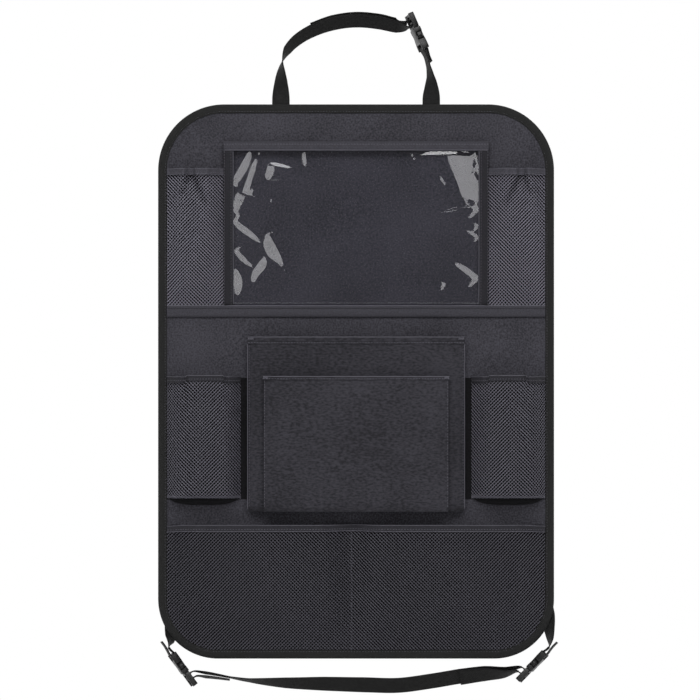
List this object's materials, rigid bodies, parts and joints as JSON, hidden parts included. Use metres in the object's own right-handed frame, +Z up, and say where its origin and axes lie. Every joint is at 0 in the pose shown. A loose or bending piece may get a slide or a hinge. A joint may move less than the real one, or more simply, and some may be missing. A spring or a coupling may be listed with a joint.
{
  "type": "car seat back organizer",
  "caption": "Upright cloth panel with a clear tablet window, net side and bottom pockets, a document pocket and buckled straps above and below.",
  "frame": {"origin": "centre of the panel's flat back face, which lies against the seat", "axes": "+Z up the panel, +Y out of its back towards the seat, so the pockets face -Y and +X is to the viewer's right"},
  "size_m": [0.4556, 0.0491, 0.7753],
  "materials": {
    "panel_cloth": "matt coated polyester canvas",
    "binding_tape": "matt folded binding tape",
    "hem_tape": "matt folded hem tape",
    "net": "black diamond net",
    "pocket_cloth": "matt polyester canvas",
    "webbing": "ribbed polypropylene webbing",
    "clear_film": "clear soft PVC film",
    "buckle_plastic": "moulded black plastic"
  },
  "bodies": {
    "root": {"back_panel": "panel_cloth", "edge_binding": "binding_tape", "divider_band": "binding_tape", "tablet_window": "clear_film", "window_tape_left": "binding_tape", "window_tape_right": "binding_tape", "window_tape_top": "binding_tape", "upper_left_mesh": "net", "upper_left_hem": "hem_tape", "upper_right_mesh": "net", "upper_right_hem": "hem_tape", "lower_left_mesh": "net", "lower_left_hem": "hem_tape", "lower_right_mesh": "net", "lower_right_hem": "hem_tape", "bottom_mesh": "net", "bottom_hem": "hem_tape", "document_pocket": "pocket_cloth", "front_pocket": "pocket_cloth", "top_strap_left": "webbing", "top_strap_right": "webbing", "bottom_strap": "webbing", "bottom_left_tail": "webbing", "bottom_right_tail": "webbing", "top_buckle_socket": "buckle_plastic", "top_buckle_plug": "buckle_plastic", "bottom_left_buckle_socket": "buckle_plastic", "bottom_left_buckle_plug": "buckle_plastic", "bottom_right_buckle_socket": "buckle_plastic", "bottom_right_buckle_plug": "buckle_plastic"}
  },
  "joints": []
}
